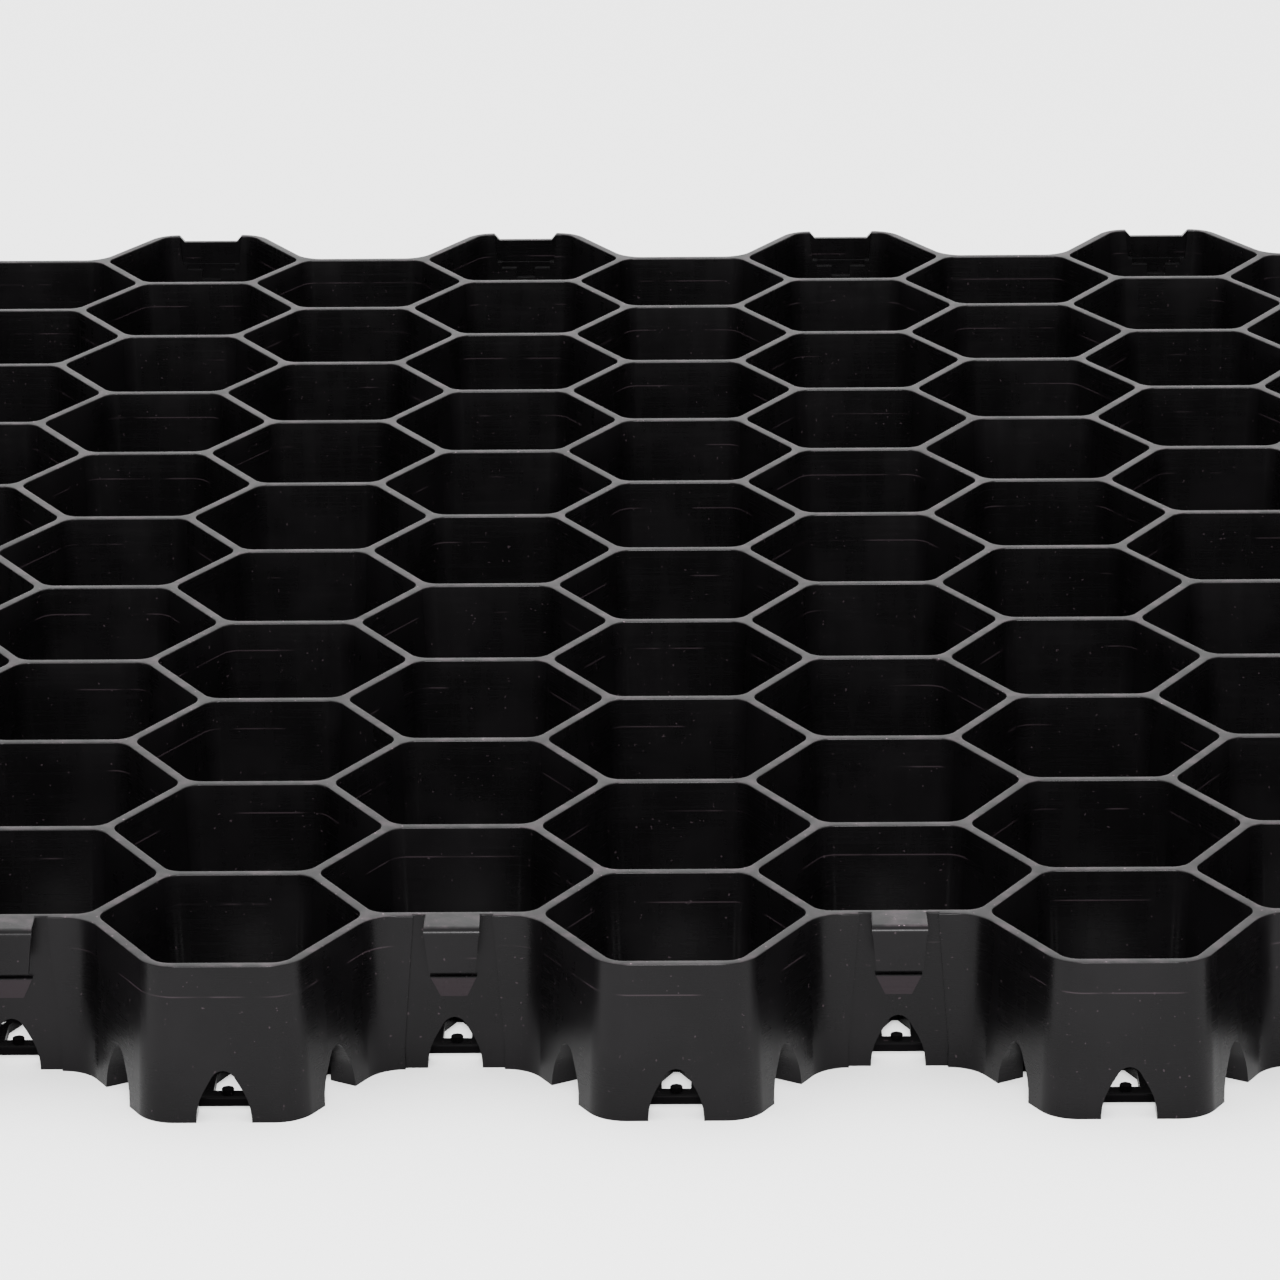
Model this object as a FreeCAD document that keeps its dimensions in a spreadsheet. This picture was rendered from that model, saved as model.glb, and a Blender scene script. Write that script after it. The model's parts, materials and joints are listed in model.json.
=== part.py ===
"""Grass paver grid: one moulded honeycomb panel with drain arches, clips and sockets."""
import math
import os

import FreeCAD
import Part

V = FreeCAD.Vector

doc = FreeCAD.newDocument("grass_paver_grid")
sheet = doc.addObject("Spreadsheet::Sheet", "sizes")

SIZES = [
    # honeycomb
    ("cell_pitch", 60.0),        # wall to wall across the flats, and the step along a column
    ("column_count", 10),        # side by side; the first and every second one sit half a pitch back
    ("row_count", 10),           # cells in a column
    ("grid_height", 38.0),
    ("wall_thick", 2.6),         # between two cells, at the rim
    ("draft", 3.3),              # degrees; every wall face leans, so walls thicken towards the foot
    ("lean", "=grid_height * tan(draft)"),
    # panel edge
    ("edge_gap", 0.1),           # outer faces stay this far inside the cell lattice at the foot
    ("edge_wall", 2.6),          # at the rim
    ("edge_radius", 10.0),       # rounding of the upright corners of the edge
    # drain arches at the foot of every wall
    ("arch_width", 12.8),
    ("arch_height", 12.7),
    ("arch_spring", 4.4),        # height of the upright sides
    ("arch_crown", 3.4),         # flat at the top
    # clips on the set-back front walls
    ("clip_width", 13.0),
    ("clip_reach", 8.0),         # from the wall's outer face at the rim to the front of the hook
    ("clip_thick", 2.0),
    ("hook_drop", 11.0),         # rim to the foot of the hook
    ("hook_thick", 2.0),
    ("hook_foot", 10.8),         # width at the foot
    ("relief_top", 17.8),        # shallow field in the wall round the clip
    ("relief_foot", 24.4),
    ("relief_depth", 0.9),
    ("catch_drop", 14.7),        # rim to the top of the snap catch
    ("catch_height", 5.4),
    ("catch_width", 11.0),
    ("catch_foot", 6.2),
    ("catch_depth", 1.6),
    # sockets in the standing-out back walls
    ("socket_mouth", 20.6),      # notch in the rim
    ("socket_seat", 17.0),
    ("socket_depth", 2.1),
    ("seat_drop", 9.4),          # rim to the ledge on the inner face
    ("seat_width", 18.6),
    ("seat_depth", 0.9),
    ("step_drop", 11.3),         # second, shallower step below the ledge
    ("step_width", 15.9),
    ("tongue_drop", 14.6),
    ("tongue_width", 6.0),
    ("step_depth", 0.5),
]

for row, (name, value) in enumerate(SIZES, start=1):
    sheet.set("A%d" % row, name)
    sheet.set("B%d" % row, str(value))
    sheet.setAlias("B%d" % row, name)
doc.recompute()

size = {name: sheet.get(name) for name, value in SIZES}
pitch = size["cell_pitch"]
columns = int(size["column_count"])
rows = int(size["row_count"])
side = pitch / math.sqrt(3.0)
column_step = 1.5 * side


def set_back(column):
    return 1 - column % 2


def centre(column, row):
    """Centre of a cell; column 0 is at x = 0, and the foremost walls are on y = 0."""
    return column * column_step, (row + 0.5 + 0.5 * set_back(column)) * pitch


def neighbour(column, row, direction):
    """The cell across wall number direction, counted round from the right-hand back wall."""
    b = set_back(column)
    steps = [(1, b), (0, 1), (-1, b), (-1, b - 1), (0, -1), (1, b - 1)]
    return column + steps[direction][0], row + steps[direction][1]


def inside(column, row):
    return 0 <= column < columns and 0 <= row < rows


def line_meet(a, b):
    """Point where two lines meet, each given as (normal angle, distance from the origin)."""
    (p, d), (q, e) = a, b
    det = math.sin(q - p)
    x = (d * math.sin(q) - e * math.sin(p)) / det
    y = (e * math.cos(p) - d * math.cos(q)) / det
    return V(x, y, 0)


def cell_outline(column, row, level):
    """The six corners of a cell's opening at a height; walls on the panel edge are moved in."""
    thicker = size["lean"] * (1.0 - level / size["grid_height"])
    cx, cy = centre(column, row)
    lines = []
    for direction in range(6):
        angle = math.radians(30 + 60 * direction)
        if inside(*neighbour(column, row, direction)):
            inset = 0.5 * size["wall_thick"]
        else:
            inset = size["edge_gap"] + size["lean"] + size["edge_wall"]
        reach = 0.5 * pitch - inset - thicker + cx * math.cos(angle) + cy * math.sin(angle)
        lines.append((angle, reach))
    return [line_meet(lines[i - 1], lines[i]) + V(0, 0, level) for i in range(6)]


def panel_outline(inset):
    """The zigzag edge of the whole panel, counter-clockwise, moved in by inset."""
    points = []
    for c in range(columns):
        x = c * column_step
        y = 0.5 * pitch * set_back(c)
        points += [V(x - 0.5 * side, y, 0), V(x + 0.5 * side, y, 0)]
    last = columns - 1
    for r in range(rows):
        x, y = centre(last, r)
        points += [V(x + side, y, 0), V(x + 0.5 * side, y + 0.5 * pitch, 0)]
    for c in reversed(range(columns)):
        x = c * column_step
        y = rows * pitch + 0.5 * pitch * set_back(c)
        points += [V(x + 0.5 * side, y, 0), V(x - 0.5 * side, y, 0)]
    for r in reversed(range(rows)):
        x, y = centre(0, r)
        points += [V(x - side, y, 0), V(x - 0.5 * side, y - 0.5 * pitch, 0)]
    corners = []
    for p in points:
        if not corners or p.distanceToPoint(corners[-1]) > 1e-6:
            corners.append(p)
    if corners[0].distanceToPoint(corners[-1]) < 1e-6:
        corners.pop()
    lines = []
    for i, p in enumerate(corners):
        run = corners[(i + 1) % len(corners)] - p
        angle = math.atan2(-run.x, run.y)
        lines.append((angle, p.x * math.cos(angle) + p.y * math.sin(angle) - inset))
    return [line_meet(lines[i - 1], lines[i]) for i in range(len(lines))]


def polygon(points):
    corners = [V(p[0], p[1], 0) for p in points]
    return [Part.LineSegment(corners[i - 1], corners[i]) for i in range(len(corners))]


body = doc.addObject("PartDesign::Body", "honeycomb")
planes = {f.Role: f for f in body.Origin.OriginFeatures}


def sketch(name, plane, geometry, offset=None, tilt=None):
    """A sketch on one of the body's planes; offset is an expression along the plane's normal."""
    s = body.newObject("Sketcher::SketchObject", name)
    s.AttachmentSupport = [(planes[plane], "")]
    s.MapMode = "FlatFace"
    if offset:
        s.setExpression("AttachmentOffset.Base.z", offset)
    if tilt:
        s.AttachmentOffset = FreeCAD.Placement(V(0, 0, 0), FreeCAD.Rotation(V(1, 0, 0), 1.0))
        s.setExpression("AttachmentOffset.Rotation.Angle", tilt)
    s.addGeometry(geometry, False)
    s.Visibility = False
    return s


def feature(kind, name, profile, length):
    """A pad or pocket of a sketch."""
    f = body.newObject("PartDesign::" + kind, name)
    f.Profile = profile
    f.setExpression("Length", length)
    return f


# the slab: its sides lean inwards from the foot, and its upright edges are rounded
slab_profile = sketch("slab_profile", "XY_Plane", polygon(panel_outline(size["edge_gap"])))
slab = feature("Pad", "slab", slab_profile, "sizes.grid_height")
doc.recompute()
sides = [n for n, face in enumerate(slab.Shape.Faces, start=1) if abs(face.normalAt(0, 0).z) < 0.5]
leaning = body.newObject("PartDesign::Draft", "leaning")
leaning.Base = (slab, ["Face%d" % n for n in sides])
leaning.NeutralPlane = (planes["XY_Plane"], [""])
leaning.setExpression("Angle", "sizes.draft")
doc.recompute()
uprights = [n for n, edge in enumerate(leaning.Shape.Edges, start=1)
            if edge.BoundBox.ZLength > 0.5 * size["grid_height"]]
rounding = body.newObject("PartDesign::Fillet", "rounding")
rounding.Base = (leaning, ["Edge%d" % n for n in uprights])
rounding.setExpression("Radius", "sizes.edge_radius")

# clips on the front walls of the set-back columns
top = size["grid_height"]
clip_columns = [c * column_step for c in range(0, columns, 2)]
front = "0.5 * sizes.cell_pitch + sizes.edge_gap"


def front_face(level):
    """Place of the leaning outer face of a set-back front wall at a height."""
    return 0.5 * pitch + size["edge_gap"] + size["lean"] * level / top


def tapered(upper, lower, z_top, z_foot):
    """One trapezium per set-back column, as seen from the front."""
    shapes = []
    for x in clip_columns:
        shapes += polygon([(x - 0.5 * lower, z_foot), (x + 0.5 * lower, z_foot),
                           (x + 0.5 * upper, z_top), (x - 0.5 * upper, z_top)])
    return shapes


def bars(width, y_front, y_back):
    """One rectangle per set-back column, as seen from above."""
    shapes = []
    for x in clip_columns:
        shapes += polygon([(x - 0.5 * width, y_front), (x + 0.5 * width, y_front),
                           (x + 0.5 * width, y_back), (x - 0.5 * width, y_back)])
    return shapes


relief_profile = sketch("relief_profile", "XZ_Plane", tapered(
    size["relief_top"], size["relief_foot"], 1.1 * top, 0.0), "-(" + front + ")", "-sizes.draft")
relief = feature("Pocket", "relief", relief_profile, "sizes.relief_depth")

hook_front = front_face(top) - size["clip_reach"]
flange_profile = sketch("flange_profile", "XY_Plane", bars(
    size["clip_width"], hook_front, front_face(top) + size["edge_wall"]), "sizes.grid_height")
flange = feature("Pad", "flange", flange_profile, "sizes.clip_thick")
flange.Reversed = True

hook_profile = sketch("hook_profile", "XZ_Plane", tapered(
    size["clip_width"], size["hook_foot"], top, top - size["hook_drop"]),
    "-(" + front + " + sizes.lean - sizes.clip_reach)")
hook = feature("Pad", "hook", hook_profile, "sizes.hook_thick")
hook.Reversed = True

catch_sections = []
for name, width, reach, drop in (
        ("catch_ledge", size["catch_width"], size["catch_depth"], "sizes.catch_drop"),
        ("catch_root", size["catch_foot"], 0.1, "sizes.catch_drop + sizes.catch_height")):
    level = top - size["catch_drop"] - (size["catch_height"] if name == "catch_root" else 0.0)
    face = front_face(level) + size["relief_depth"]
    outline = bars(width, face - reach, face + size["edge_wall"])[:4]
    catch_sections.append(sketch(name, "XY_Plane", outline, "sizes.grid_height - (" + drop + ")"))
catch = body.newObject("PartDesign::AdditiveLoft", "catch")
catch.Profile = catch_sections[0]
catch.Sections = catch_sections[1:]
catches = body.newObject("PartDesign::LinearPattern", "catches")
catches.Originals = [catch]
catches.Direction = (slab_profile, ["H_Axis"])
catches.setExpression("Length", "sizes.cell_pitch * sqrt(3) * (ceil(sizes.column_count / 2) - 1)")
catches.setExpression("Occurrences", "ceil(sizes.column_count / 2)")
body.Tip = catches

# sockets in the back walls of the same columns
back = "(sizes.row_count + 0.5) * sizes.cell_pitch - sizes.edge_gap - sizes.lean"
inner = "-(" + back + " - 2 * sizes.edge_wall)"
mouth_profile = sketch("mouth_profile", "XZ_Plane", tapered(
    size["socket_mouth"], size["socket_seat"], top, top - size["socket_depth"]), inner)
mouth = feature("Pocket", "mouth", mouth_profile, "2 * sizes.edge_wall + sizes.lean")
seat_profile = sketch("seat_profile", "XZ_Plane", tapered(
    size["socket_mouth"], size["seat_width"], top, top - size["seat_drop"]), inner)
seat = feature("Pocket", "seat", seat_profile, "sizes.edge_wall + sizes.seat_depth")
steps = []
for x in clip_columns:
    w = 0.5 * size["step_width"]
    k = 0.5 * size["tongue_width"]
    ledge = top - size["seat_drop"]
    low = top - size["step_drop"]
    foot = top - size["tongue_drop"]
    steps += polygon([(x - w, ledge), (x - w, low), (x - k, low), (x - k, foot),
                      (x + k, foot), (x + k, low), (x + w, low), (x + w, ledge)])
step_profile = sketch("step_profile", "XZ_Plane", steps, inner)
step = feature("Pocket", "step", step_profile, "sizes.edge_wall + sizes.step_depth")

# the cells: a plug for each, narrower at the foot
def plug(mouth, foot):
    """A solid between two outlines with the same number of corners."""
    outlines = [mouth, foot]
    for i in range(len(mouth)):
        outlines.append([mouth[i - 1], mouth[i], foot[i], foot[i - 1]])
    faces = [Part.Face(Part.makePolygon(points + points[:1])) for points in outlines]
    return Part.Solid(Part.Shell(faces))


cells = [(c, r) for c in range(columns) for r in range(rows)]
plugs = [plug(cell_outline(c, r, top + 1.0), cell_outline(c, r, -1.0)) for c, r in cells]

# drain arches: one block across the middle of each wall
arch_run = size["edge_gap"] + size["edge_wall"] + 2 * size["lean"] + 1.0
half = 0.5 * size["arch_width"]
crown = 0.5 * size["arch_crown"]
arch_points = [V(-arch_run, -half, -1), V(-arch_run, half, -1), V(-arch_run, half, size["arch_spring"]),
               V(-arch_run, crown, size["arch_height"]), V(-arch_run, -crown, size["arch_height"]),
               V(-arch_run, -half, size["arch_spring"])]
arch = Part.Face(Part.makePolygon(arch_points + arch_points[:1])).extrude(V(2 * arch_run, 0, 0))
blocks = []
for c, r in cells:
    cx, cy = centre(c, r)
    for direction in range(6):
        if direction > 2 and inside(*neighbour(c, r, direction)):
            continue
        angle = 30 + 60 * direction
        turn = FreeCAD.Rotation(V(0, 0, 1), angle)
        block = arch.copy()
        block.Placement = FreeCAD.Placement(V(cx, cy, 0) + turn.multVec(V(0.5 * pitch, 0, 0)), turn)
        blocks.append(block)

# the panel's middle goes to the origin
body.setExpression("Placement.Base.x", "-(sizes.column_count - 1) * sizes.cell_pitch * sqrt(3) / 4")
body.setExpression("Placement.Base.y", "-(sizes.row_count + 0.5) * sizes.cell_pitch / 2")
doc.recompute()
for tool in plugs + blocks:
    tool.translate(body.Placement.Base)
panel = doc.addObject("Part::Feature", "panel")
panel.Label = "paver_grid"
panel.Shape = body.Shape.cut(plugs).cut(blocks).Solids[0]

for obj in doc.Objects:
    if "Invalid" in obj.State or "Error" in obj.State:
        raise RuntimeError("%s: %s" % (obj.Name, obj.State))
if not panel.Shape.isValid():
    raise RuntimeError("the panel is not a sound solid")
print("volume", round(panel.Shape.Volume), "faces", len(panel.Shape.Faces), panel.Shape.optimalBoundingBox())
os.makedirs("parts", exist_ok=True)
panel.Shape.exportStep("parts/paver_grid.step")
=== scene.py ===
# %% [markdown]
# # A grass paver grid
# The object is one moulded plastic panel: ten columns of open hexagonal cells that are laid on the ground
# and filled with turf or gravel. The CAD panel is already exact in plan and height, so this lesson softens
# it the way a mould does, adds the slotted floors of the cells, and gives it its black plastic.

# %% Load the panel
import json
import math

import bmesh
import bpy
from mathutils import Matrix, Vector

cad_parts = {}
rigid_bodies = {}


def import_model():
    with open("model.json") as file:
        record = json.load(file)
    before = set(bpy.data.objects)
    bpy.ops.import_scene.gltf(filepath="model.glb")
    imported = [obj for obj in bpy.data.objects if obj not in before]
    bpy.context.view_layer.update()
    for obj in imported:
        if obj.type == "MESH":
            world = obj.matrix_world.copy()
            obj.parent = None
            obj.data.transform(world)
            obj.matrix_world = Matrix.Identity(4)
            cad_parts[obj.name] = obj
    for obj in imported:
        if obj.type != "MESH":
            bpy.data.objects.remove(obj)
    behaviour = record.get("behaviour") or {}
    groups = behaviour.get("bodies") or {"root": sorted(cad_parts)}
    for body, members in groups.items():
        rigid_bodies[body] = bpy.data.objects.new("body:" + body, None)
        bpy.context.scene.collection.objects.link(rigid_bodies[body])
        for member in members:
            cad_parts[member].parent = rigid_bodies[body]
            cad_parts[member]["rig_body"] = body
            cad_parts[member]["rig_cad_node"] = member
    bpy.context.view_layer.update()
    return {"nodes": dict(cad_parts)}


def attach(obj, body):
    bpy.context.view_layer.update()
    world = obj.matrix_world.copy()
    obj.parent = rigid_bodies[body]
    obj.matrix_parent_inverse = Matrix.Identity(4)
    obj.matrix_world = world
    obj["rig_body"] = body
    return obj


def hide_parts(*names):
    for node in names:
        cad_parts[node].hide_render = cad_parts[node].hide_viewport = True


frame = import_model()

# %% [markdown]
# The panel's own sizes come first, in metres, because every later step places something by them. A cell
# is named by its column and row. Columns run along Y, and the first and every second one after it sit half
# a pitch further back, so that panels nest into each other.

# %% Sizes of the honeycomb
MM = 0.001
PITCH = 60.0 * MM
SIDE = PITCH / math.sqrt(3.0)
COLUMN_STEP = 1.5 * SIDE
COLUMNS = 10
ROWS = 10
HEIGHT = 38.0 * MM
FRONT = -0.5 * (ROWS + 0.5) * PITCH


def set_back(column):
    """1 for a column that sits half a pitch further back, else 0."""
    return 1 - column % 2


def cell_centre(column, row):
    x = (column - 0.5 * (COLUMNS - 1)) * COLUMN_STEP
    y = FRONT + (row + 0.5 + 0.5 * set_back(column)) * PITCH
    return Vector((x, y, 0.0))


print(COLUMNS * ROWS, "cells, front edge at", round(FRONT / MM, 1), "mm")

# %% [markdown]
# The camera stands low in front of the clip edge with a long lens, so the rows close up towards the back
# without much perspective. Its place was fitted to the lines of the rims, and is given in cell pitches from
# the front rim of the column that stands nearest to the picture's centre.

# %% Camera
LENS_IN_PIXELS = 5780.0
FRAME_PIXELS = 1280.0
SENSOR_WIDTH = 36.0
FURTHEST_SEEN = 20.0
PITCH_DOWN = math.radians(19.48)
YAW = math.radians(0.75)
ROLL = math.radians(0.55)
LEVEL_AIM = math.radians(90.0)
CENTRE_COLUMN = 5
CAMERA_AWAY = Vector((0.144, -20.244, 8.483)) * PITCH

camera_place = Vector((cell_centre(CENTRE_COLUMN, 0).x, FRONT, HEIGHT)) + CAMERA_AWAY
bpy.ops.object.camera_add()
camera = bpy.context.object
camera.name = "camera"
camera.data.sensor_width = SENSOR_WIDTH
camera.data.lens = SENSOR_WIDTH * LENS_IN_PIXELS / FRAME_PIXELS
camera.data.clip_end = FURTHEST_SEEN
turn = (Matrix.Rotation(YAW, 4, "Z") @ Matrix.Rotation(-PITCH_DOWN, 4, "X")
        @ Matrix.Rotation(ROLL, 4, "Y") @ Matrix.Rotation(LEVEL_AIM, 4, "X"))
camera.matrix_world = Matrix.Translation(camera_place) @ turn
bpy.context.scene.camera = camera
print("lens", round(camera.data.lens, 1), "mm at", [round(v, 3) for v in camera_place])

# %% [markdown]
# Shader graphs are easier to read as sums than as boxes and wires. A Wire is one socket; adding or
# multiplying wires adds the Math nodes. Everything else comes from Finish.node, which takes the node's
# type, its settings and its inputs.

# %% Writing shaders as sums
# a Mix node has sockets for numbers and vectors too; these are the places of those for colours
MIX_FACTOR = 0
MIX_BELOW = 6
MIX_ABOVE = 7
MIX_RESULT = 2


class Wire:
    """One socket of a material, to reckon with as with a number."""

    def __init__(self, finish, socket):
        self.finish = finish
        self.socket = socket

    def _math(self, operation, *values):
        return self.finish.node("ShaderNodeMath", {"operation": operation}, dict(enumerate(values)))

    def __add__(self, other):
        return self._math("ADD", self, other)

    def __sub__(self, other):
        return self._math("SUBTRACT", self, other)

    def __mul__(self, other):
        return self._math("MULTIPLY", self, other)

    def __rsub__(self, other):
        return self._math("SUBTRACT", other, self)

    __radd__ = __add__
    __rmul__ = __mul__

    def size(self):
        return self._math("ABSOLUTE", self)

    def top(self, other):
        return self._math("MAXIMUM", self, other)

    def step(self, low, high):
        """0 below low, 1 above high, and a smooth rise between; high may be the smaller."""
        inputs = {"Value": self, "From Min": low, "From Max": high}
        return self.finish.node("ShaderNodeMapRange", {"interpolation_type": "SMOOTHSTEP"}, inputs)


class Finish:
    """A material and the nodes in it."""

    def __init__(self, name):
        self.material = bpy.data.materials.new(name)
        self.material.use_nodes = True
        self.tree = self.material.node_tree
        self.shader = self.tree.nodes["Principled BSDF"]

    def node(self, kind, settings=None, inputs=None, out=0):
        made = self.tree.nodes.new(kind)
        for name, value in (settings or {}).items():
            setattr(made, name, value)
        self.feed(made, inputs or {})
        return Wire(self, made.outputs[out])

    def feed(self, target, inputs):
        for name, value in inputs.items():
            socket = target.inputs[name]
            if isinstance(value, Wire):
                self.tree.links.new(value.socket, socket)
            else:
                socket.default_value = value

    def place(self):
        return self.node("ShaderNodeTexCoord", out="Object")

    def part(self, vector, axis):
        return self.node("ShaderNodeSeparateXYZ", {}, {"Vector": vector}, out=axis)

    def noise(self, place, scale, detail=3.0, rough=0.55):
        inputs = {"Vector": place, "Scale": scale, "Detail": detail, "Roughness": rough}
        return self.node("ShaderNodeTexNoise", {"noise_dimensions": "3D"}, inputs)

    def stretch(self, place, amounts):
        return self.node("ShaderNodeVectorMath", {"operation": "MULTIPLY"}, {0: place, 1: amounts})

    def blend(self, factor, below, above):
        """Mixes two colours."""
        inputs = {MIX_FACTOR: factor, MIX_BELOW: below, MIX_ABOVE: above}
        return self.node("ShaderNodeMix", {"data_type": "RGBA"}, inputs, out=MIX_RESULT)


print("shader helpers ready")

# %% [markdown]
# The plastic is black polyethylene straight from the mould: a satin skin with a fine grain, slightly
# cloudy, with pale dust on the rims. The rims look lighter than the walls mostly because they mirror the
# bright room at a low angle. Their colour gets only a faint grey-pink film, partly dust and partly a
# painted reflection tint. All the marks are noise of one scale or another, read at the place on the panel,
# so they stay where they are from any side.

# %% Where the panel's marks and painted light lie
# noise scales, in waves per metre
CLOUD_SCALE = 38.0
PATCH_SCALE = 55.0
FILM_SCALE = 160.0
STREAK_SCALE = 260.0
SPECK_SCALE = 1100.0
LINE_SCALE = 1500.0
GRAIN_SCALE = 2600.0
DRAWN_UPRIGHT = (1.0, 1.0, 0.04)
DRAWN_LEVEL = (0.03, 0.03, 1.0)

plastic = Finish("black_polyethylene")
spot = plastic.place()
normal = plastic.node("ShaderNodeNewGeometry", out="Normal")
height = plastic.part(spot, "Z")
upward = plastic.part(normal, "Z")
forward = plastic.part(normal, "Y") * -1.0
rim = upward.step(0.75, 0.97) * height.step(0.8 * HEIGHT, 0.9 * HEIGHT)
cloud = plastic.noise(spot, CLOUD_SCALE, 4.0).step(0.35, 0.7)
streak = plastic.noise(plastic.stretch(spot, DRAWN_UPRIGHT), STREAK_SCALE, 3.0).step(0.4, 0.7)
lines = plastic.noise(plastic.stretch(spot, DRAWN_LEVEL), LINE_SCALE, 2.0).step(0.45, 0.7)
grain = plastic.noise(spot, GRAIN_SCALE, 2.0)
specks = plastic.noise(spot, SPECK_SCALE, 1.0, 0.4).step(0.75, 0.78)
dust_and_tint_film = plastic.noise(spot, FILM_SCALE, 5.0, 0.65).step(0.42, 0.75)
# on the rims a faint grey-pink film, partly dust and partly a painted reflection tint; dust specks
# everywhere
dust_and_rim_tint = (rim * (dust_and_tint_film * 0.08 + specks * 0.4)).top(specks * 0.05)

# a faint broken line on the walls, where two parts of the mould meet
LINE_DROP = 7.4 * MM
LINE_HALF = 0.12 * MM
from_line = (height - (HEIGHT - LINE_DROP)).size()
patches = plastic.noise(spot, PATCH_SCALE, 2.0).step(0.5, 0.62)
mould_line = from_line.step(2.0 * LINE_HALF, 0.5 * LINE_HALF) * patches

# only the catches under the hooks lean forward and down; painted light makes them a little paler
catch_painted_light = forward.step(0.9, 0.95) * upward.step(-0.12, -0.17)
print("marks take", len(plastic.tree.nodes), "nodes")

# %% [markdown]
# The colour is a black that the clouds lift slightly, with the dust's grey-pink over it where a mark lies.
# Roughness varies more than colour does, and that is what makes the skin look moulded and not painted.
# Black polyethylene mirrors little, so the specular level is low.

# %% Black plastic
BLACK = (0.0010, 0.0009, 0.0010, 1.0)
BLOOM = (0.0019, 0.0017, 0.0019, 1.0)
DUST_AND_PAINTED_LIGHT = (0.30, 0.21, 0.25, 1.0)
LINE_PALE = 0.04
# how much painted light lifts the catches under the hooks
CATCH_PAINTED_LIGHT = 0.025
SATIN = 0.25
GRAIN_STRENGTH = 0.08
GRAIN_DEPTH = 0.2 * MM

tone = plastic.blend(cloud, BLACK, BLOOM)
marks_and_painted_light = dust_and_rim_tint.top(mould_line * LINE_PALE).top(catch_painted_light * CATCH_PAINTED_LIGHT)
bump = {"Strength": GRAIN_STRENGTH, "Distance": GRAIN_DEPTH, "Height": grain}
plastic.feed(plastic.shader, {
    "Base Color": plastic.blend(marks_and_painted_light, tone, DUST_AND_PAINTED_LIGHT),
    "Roughness": SATIN + rim * 0.13 + cloud * 0.04 + streak * 0.03 + lines * 0.03 + dust_and_rim_tint * 0.25,
    "Normal": plastic.node("ShaderNodeBump", {}, bump),
})
plastic.shader.inputs["IOR"].default_value = 1.5
plastic.shader.inputs["Specular IOR Level"].default_value = 0.09
plastic.shader.inputs["Specular Tint"].default_value = (1.0, 0.98, 1.0, 1.0)
print("material", plastic.material.name, "with", len(plastic.tree.nodes), "nodes")

# %% [markdown]
# Modelling by hand is a matter of selecting something and then using one tool on it. These helpers do
# just that: select what passes a test, run an operator, and go back to object mode.

# %% Selecting and editing
def only(obj):
    if bpy.context.object and bpy.context.object.mode != "OBJECT":
        bpy.ops.object.mode_set(mode="OBJECT")
    bpy.ops.object.select_all(action="DESELECT")
    obj.select_set(True)
    bpy.context.view_layer.objects.active = obj


def everything(item):
    return True


def choose(obj, kind, test):
    """Opens obj in edit mode and selects the verts, edges or faces that pass the test."""
    only(obj)
    bpy.ops.object.mode_set(mode="EDIT")
    bpy.ops.mesh.select_mode(type={"verts": "VERT", "edges": "EDGE", "faces": "FACE"}[kind])
    bpy.ops.mesh.select_all(action="DESELECT")
    mesh = bmesh.from_edit_mesh(obj.data)
    chosen = [item for item in getattr(mesh, kind) if test(item)]
    for item in chosen:
        item.select_set(True)
    mesh.select_flush_mode()
    bmesh.update_edit_mesh(obj.data)
    return len(chosen)


def edit(obj, kind, test, operator, **settings):
    """Runs one operator on what passes the test, and says on how many."""
    count = choose(obj, kind, test)
    operator(**settings)
    bpy.ops.object.mode_set(mode="OBJECT")
    return count


def round_edges(obj, test, reach, steps, clamp=False):
    return edit(obj, "edges", test, bpy.ops.mesh.bevel, offset=reach, offset_type="OFFSET",
                segments=steps, affect="EDGES", clamp_overlap=clamp)


def lies_at(item, level):
    return all(abs(v.co.z - level) < 0.01 * MM for v in item.verts)


def turns_by(edge):
    """The angle between an edge's two faces, in degrees."""
    return math.degrees(edge.calc_face_angle(0.0))


def apply_modifier(obj, kind, **settings):
    only(obj)
    bpy.ops.object.modifier_add(type=kind)
    modifier = obj.modifiers[-1]
    for name, value in settings.items():
        setattr(modifier, name, value)
    bpy.ops.object.modifier_apply(modifier=modifier.name)


def join(pieces):
    """Joins the pieces into the first of them."""
    only(pieces[0])
    for piece in pieces:
        piece.select_set(True)
    bpy.ops.object.join()


def settle():
    """Moves the place and turn of what is selected into its mesh."""
    bpy.ops.object.transform_apply(location=True, rotation=True, scale=True)


def triangles(obj):
    return sum(len(face.vertices) - 2 for face in obj.data.polygons)


print("modelling helpers ready")

# %% [markdown]
# The visible panel starts as a copy of the CAD node. That mesh is loose triangles, so its corners are
# merged, and flat neighbours are dissolved into larger faces; after that only true edges are left to
# round. The normals stored with the triangles are cleared, since they would no longer fit.

# %% Copy and merge the panel
SAME_PLACE = 0.002 * MM
NEARLY_FLAT = math.radians(0.4)

only(frame["nodes"]["paver_grid"])
bpy.ops.object.duplicate()
panel = bpy.context.object
panel.name = "paver_grid_moulding"
panel.parent = None
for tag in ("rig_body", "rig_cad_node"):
    del panel[tag]
bpy.ops.mesh.customdata_custom_splitnormals_clear()
choose(panel, "verts", everything)
bpy.ops.mesh.remove_doubles(threshold=SAME_PLACE)
bpy.ops.mesh.dissolve_limited(angle_limit=NEARLY_FLAT)
bpy.ops.object.mode_set(mode="OBJECT")
print("merged to", len(panel.data.vertices), "corners and", len(panel.data.polygons), "faces")

# %% [markdown]
# The hooks are bent strips: the flat top turns down in a small round bend that catches the light. In the
# solid it is one edge per hook, at rim height and furthest out. Below each hook is a wedge-shaped catch,
# and its ledge is also one edge, which gets a smaller radius.

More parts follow.
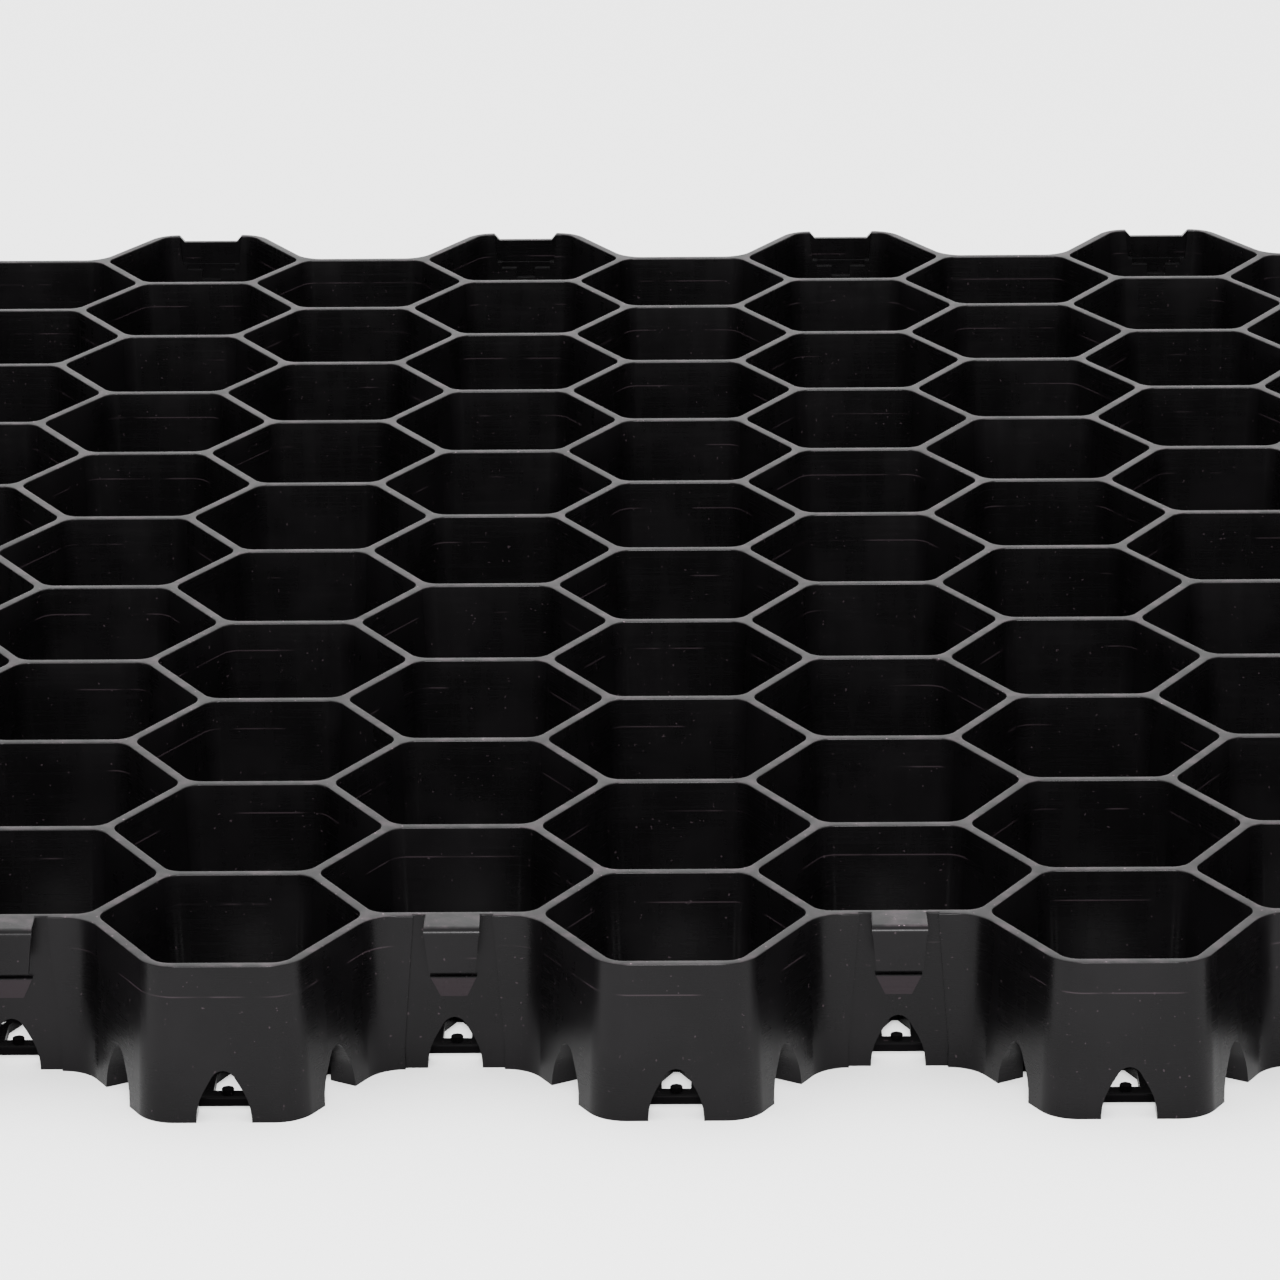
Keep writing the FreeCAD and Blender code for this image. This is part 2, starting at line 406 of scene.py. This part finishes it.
# %% Round the hooks and the catches
SET_BACK_WALL = FRONT + 0.5 * PITCH
HOOK_FRONT = SET_BACK_WALL - 5.71 * MM
HOOK_RADIUS = 1.6 * MM
LEDGE_FRONT = SET_BACK_WALL + 0.74 * MM
LEDGE_RADIUS = 0.45 * MM
LEDGE = HEIGHT - 14.7 * MM


def runs_along(edge, level, y):
    return lies_at(edge, level) and all(abs(v.co.y - y) < 0.05 * MM for v in edge.verts)


hooks = round_edges(panel, lambda e: runs_along(e, HEIGHT, HOOK_FRONT), HOOK_RADIUS, 4, clamp=True)
ledges = round_edges(panel, lambda e: runs_along(e, LEDGE, LEDGE_FRONT), LEDGE_RADIUS, 2, clamp=True)
print(hooks, "hooks and", ledges, "ledges rounded")

# %% [markdown]
# The cells are sharp hexagons in the solid. On the panel their inside corners are rounded, so the six
# leaning edges of every cell are bevelled. The flat rim and the flat foot are taken off first and filled
# in again afterwards, because their faces cross from cell to cell and would stand in the way. The leaning
# edges are easy to find: they run from foot to rim, and their faces turn by about 60 degrees, unlike the
# small steps of the rounded outer corners and the square sides of the fields round the clips.

# %% Round the cells' corners
CELL_RADIUS = 4.8 * MM
CELL_REACH = CELL_RADIUS * math.tan(math.radians(30.0))


def stands_full_height(edge):
    a, b = (v.co for v in edge.verts)
    return abs(a.z - b.z) > 0.9 * HEIGHT


def is_cell_corner(edge):
    return stands_full_height(edge) and 45.0 < turns_by(edge) < 75.0


for level in (0.0, HEIGHT):
    edit(panel, "faces", lambda f: lies_at(f, level), bpy.ops.mesh.delete, type="FACE")
corners = round_edges(panel, is_cell_corner, CELL_REACH, 5)
for level in (0.0, HEIGHT):
    edit(panel, "edges", lambda e: e.is_boundary and lies_at(e, level), bpy.ops.mesh.fill, use_beauty=True)
edit(panel, "verts", everything, bpy.ops.mesh.normals_make_consistent, inside=False)
print(corners, "corners rounded, rim and foot filled again, now", len(panel.data.polygons), "faces")

# %% [markdown]
# The drain arches at the foot of the walls are cut with straight sides in the solid. On the real panel
# they are pointed arches with a round top, so the edges that cross the wall at each arch's crown and at
# its shoulders are bevelled wide, which draws the curve. Faces of the walls lean and look slightly upwards,
# those of an arch never do, which tells an edge across the wall from one along it.

# %% Round the drain arches
ARCH_TOP = 12.7 * MM
ARCH_TOP_REACH = 1.65 * MM
ARCH_SHOULDER = 4.4 * MM
ARCH_SHOULDER_REACH = 3.4 * MM


def crosses_wall(edge, level):
    at_level = all(abs(v.co.z - level) < 0.02 * MM for v in edge.verts)
    under_arch = all(face.normal.z < 0.02 for face in edge.link_faces)
    return at_level and under_arch and turns_by(edge) > 15.0


for level, reach in ((ARCH_TOP, ARCH_TOP_REACH), (ARCH_SHOULDER, ARCH_SHOULDER_REACH)):
    count = round_edges(panel, lambda e: crosses_wall(e, level), reach, 3)
    print(count, "arch edges rounded at", round(level / MM, 1), "mm")

# %% [markdown]
# The edges of the rim get a small radius: nothing that comes out of a mould is knife sharp, and the thin
# bright line on each rim is this radius catching the light. The panel is then shaded smooth, and weighted
# normals keep the large walls flat beside their small roundings.

# %% Soften the rim
RIM_RADIUS = 0.35 * MM
SMOOTH_BELOW = math.radians(40.0)


def is_rim_edge(edge):
    return lies_at(edge, HEIGHT) and turns_by(edge) > 60.0


count = round_edges(panel, is_rim_edge, RIM_RADIUS, 2)
only(panel)
bpy.ops.object.shade_smooth_by_angle(angle=SMOOTH_BELOW)
apply_modifier(panel, "WEIGHTED_NORMAL", mode="FACE_AREA", weight=60, keep_sharp=True)
panel.data.materials.clear()
panel.data.materials.append(plastic.material)
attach(panel, "root")
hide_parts("paver_grid")
print(count, "rim edges softened, panel has", triangles(panel), "triangles")

# %% [markdown]
# Each cell has a slotted floor. Through the front arches one sees its edge, a small boss and the ground
# behind it. One floor is modelled at the origin: a hexagon whose corners are cut off and drawn out into
# six arms that reach into the walls, and which is then made solid.

# %% The plate of one floor
PLATE_REACH = 20.5 * MM
PLATE_CORNER = PLATE_REACH / math.cos(math.radians(30.0))
PLATE_THICK = 2.2 * MM
ARM_WIDTH = 5.0 * MM
ARM_CUT = ARM_WIDTH / math.sqrt(3.0)
ARM_END = 31.0 * MM
SIXTH_TURN = math.radians(60.0)
HALF_SIXTH = 0.5 * SIXTH_TURN
ORIGIN = (0.0, 0.0, 0.0)

bpy.ops.mesh.primitive_circle_add(vertices=6, radius=PLATE_CORNER, fill_type="NGON",
                                  rotation=(0.0, 0.0, HALF_SIXTH))
web = bpy.context.object
settle()
edit(web, "verts", everything, bpy.ops.mesh.bevel, offset=ARM_CUT, affect="VERTICES", segments=1)
choose(web, "edges", lambda e: e.calc_length() < 1.2 * ARM_WIDTH)
bpy.ops.mesh.extrude_edges_indiv()
grow = ARM_END / (PLATE_CORNER - 0.5 * ARM_CUT)
bpy.ops.transform.resize(value=(grow, grow, 1.0), center_override=ORIGIN)
bpy.ops.mesh.select_all(action="SELECT")
bpy.ops.mesh.extrude_region_move(TRANSFORM_OT_translate={"value": (0.0, 0.0, PLATE_THICK)})
bpy.ops.object.mode_set(mode="OBJECT")
edit(web, "verts", everything, bpy.ops.mesh.normals_make_consistent, inside=False)
print("plate has", len(web.data.polygons), "faces")

# %% [markdown]
# The six slots are pointed towards the middle. One cutter is a box whose inner end is drawn out and made
# narrow; five turned copies join it, and a Boolean takes them all from the plate at once.

# %% The slots of one floor
SLOT_WIDTH = 6.8 * MM
SLOT_OUTER = 16.5 * MM
SLOT_EAVES = 7.6 * MM
SLOT_TIP = 2.0 * MM
SLOT_TIP_SHARE = 0.21
CUTTER_DEPTH = 6.0 * PLATE_THICK

bpy.ops.mesh.primitive_cube_add(size=1.0)
slot = bpy.context.object
choose(slot, "verts", everything)
bpy.ops.transform.resize(value=(SLOT_WIDTH, SLOT_OUTER - SLOT_EAVES, CUTTER_DEPTH))
bpy.ops.transform.translate(value=(0.0, 0.5 * (SLOT_OUTER + SLOT_EAVES), 0.0))
bpy.ops.object.mode_set(mode="OBJECT")
choose(slot, "faces", lambda f: f.normal.y < -0.5)
bpy.ops.mesh.extrude_region_move(TRANSFORM_OT_translate={"value": (0.0, SLOT_TIP - SLOT_EAVES, 0.0)})
bpy.ops.transform.resize(value=(SLOT_TIP_SHARE, 1.0, 1.0))
bpy.ops.object.mode_set(mode="OBJECT")
slots = [slot]
for number in range(1, 6):
    only(slot)
    bpy.ops.object.duplicate()
    bpy.ops.transform.rotate(value=number * SIXTH_TURN, orient_axis="Z", center_override=ORIGIN)
    slots.append(bpy.context.object)
join(slots)
settle()
apply_modifier(web, "BOOLEAN", operation="DIFFERENCE", solver="EXACT", object=slot)
bpy.data.objects.remove(slot)
print("slotted plate has", len(web.data.polygons), "faces")

# %% [markdown]
# The upper outer edges of the plate are rounded. That gives the fine light line which runs along each bar
# behind the arches.

# %% The lips of one floor
LIP_RADIUS = 0.5 * MM


def is_lip(edge):
    """The six straight outer edges on the upper side of the floor."""
    middle = 0.5 * (edge.verts[0].co + edge.verts[1].co)
    return lies_at(edge, PLATE_THICK) and abs(middle.xy.length - PLATE_REACH) < 0.02 * MM


count = round_edges(web, is_lip, LIP_RADIUS, 4, clamp=True)
print(count, "lips rounded")

# %% [markdown]
# A low round boss stands at the outer end of every slot, sunk a little into the plate. Eight sides are
# enough for something of this size that is repeated six hundred times.

# %% Bosses
BOSS_SIDES = 8
BOSS_WIDTH = 2.9 * MM
BOSS_HEIGHT = 1.0 * MM
BOSS_SUNK = 0.4 * MM
BOSS_OUT = SLOT_OUTER + 0.3 * BOSS_WIDTH

bosses = []
for number in range(6):
    angle = HALF_SIXTH + number * SIXTH_TURN
    middle = PLATE_THICK + 0.5 * (BOSS_HEIGHT - BOSS_SUNK)
    bpy.ops.mesh.primitive_cylinder_add(
        vertices=BOSS_SIDES, radius=0.5 * BOSS_WIDTH, depth=BOSS_HEIGHT + BOSS_SUNK,
        location=(BOSS_OUT * math.cos(angle), BOSS_OUT * math.sin(angle), middle))
    bosses.append(bpy.context.object)
join([web] + bosses)
print("one floor with its bosses has", len(web.data.polygons), "faces")

# %% [markdown]
# Ten floors in a row make a column, and a copy of the column goes to each of the ten columns of cells.
# All of them are joined into one piece that rides on the panel. The floors lie deep between the walls, in
# shade, and look almost black, so they get a copy of the plastic that mirrors less: painted shade.

# %% A floor for every cell
SHADED_SPECULAR = 0.01
FLOOR_SMOOTH_BELOW = math.radians(30.0)

apply_modifier(web, "ARRAY", use_relative_offset=False, use_constant_offset=True,
               constant_offset_displace=(0.0, PITCH, 0.0), count=ROWS)
web_columns = []
for column in range(COLUMNS):
    only(web)
    bpy.ops.object.duplicate()
    bpy.ops.transform.translate(value=cell_centre(column, 0))
    web_columns.append(bpy.context.object)
bpy.data.objects.remove(web)
join(web_columns)
webs = bpy.context.object
webs.name = "floor_webs"
settle()
bpy.ops.object.shade_smooth_by_angle(angle=FLOOR_SMOOTH_BELOW)
# a copy with a lower specular level paints in the shade the floors lie in
shaded_plastic = plastic.material.copy()
shaded_plastic.name = "black_polyethylene_painted_shade"
shaded_shader = shaded_plastic.node_tree.nodes["Principled BSDF"]
shaded_shader.inputs["Specular IOR Level"].default_value = SHADED_SPECULAR
webs.data.materials.clear()
webs.data.materials.append(shaded_plastic)
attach(webs, "root")
print("floors have", triangles(webs), "triangles")

# %% [markdown]
# The panel lies on a plain pale floor in a bright room. A white surround does most of the lighting. A large
# soft lamp overhead adds to it, and a smaller one above the camera draws the bright lines on the hooks'
# bends and on the front edges of the rims.

# %% Floor and light
FLOOR_SIZE = 12.0
PALE = (0.94, 0.94, 0.94, 1.0)
WHITE = (1.0, 1.0, 1.0, 1.0)
ROOM_STRENGTH = 3.3

bpy.ops.mesh.primitive_plane_add(size=FLOOR_SIZE, location=ORIGIN)
floor = bpy.context.object
floor.name = "floor"
paper = Finish("pale_floor")
paper.shader.inputs["Base Color"].default_value = PALE
paper.shader.inputs["Roughness"].default_value = 0.9
floor.data.materials.append(paper.material)

room = bpy.data.worlds.new("bright_room")
room.use_nodes = True
surround = room.node_tree.nodes["Background"]
surround.inputs["Color"].default_value = WHITE
surround.inputs["Strength"].default_value = ROOM_STRENGTH
bpy.context.scene.world = room


def add_lamp(name, place, aim, size, watts):
    bpy.ops.object.light_add(type="AREA", location=place)
    lamp = bpy.context.object
    lamp.name = name
    lamp.rotation_euler = (Vector(aim) - Vector(place)).to_track_quat("-Z", "Y").to_euler()
    lamp.data.shape = "RECTANGLE"
    lamp.data.size, lamp.data.size_y = size
    lamp.data.energy = watts


add_lamp("overhead", place=(-0.5, 0.6, 2.2), aim=ORIGIN, size=(2.4, 1.8), watts=30.0)
add_lamp("front", place=(0.05, -1.75, 0.75), aim=(0.0, FRONT, 0.5 * HEIGHT), size=(0.5, 0.25), watts=50.0)
print("floor, room and two lamps in place")
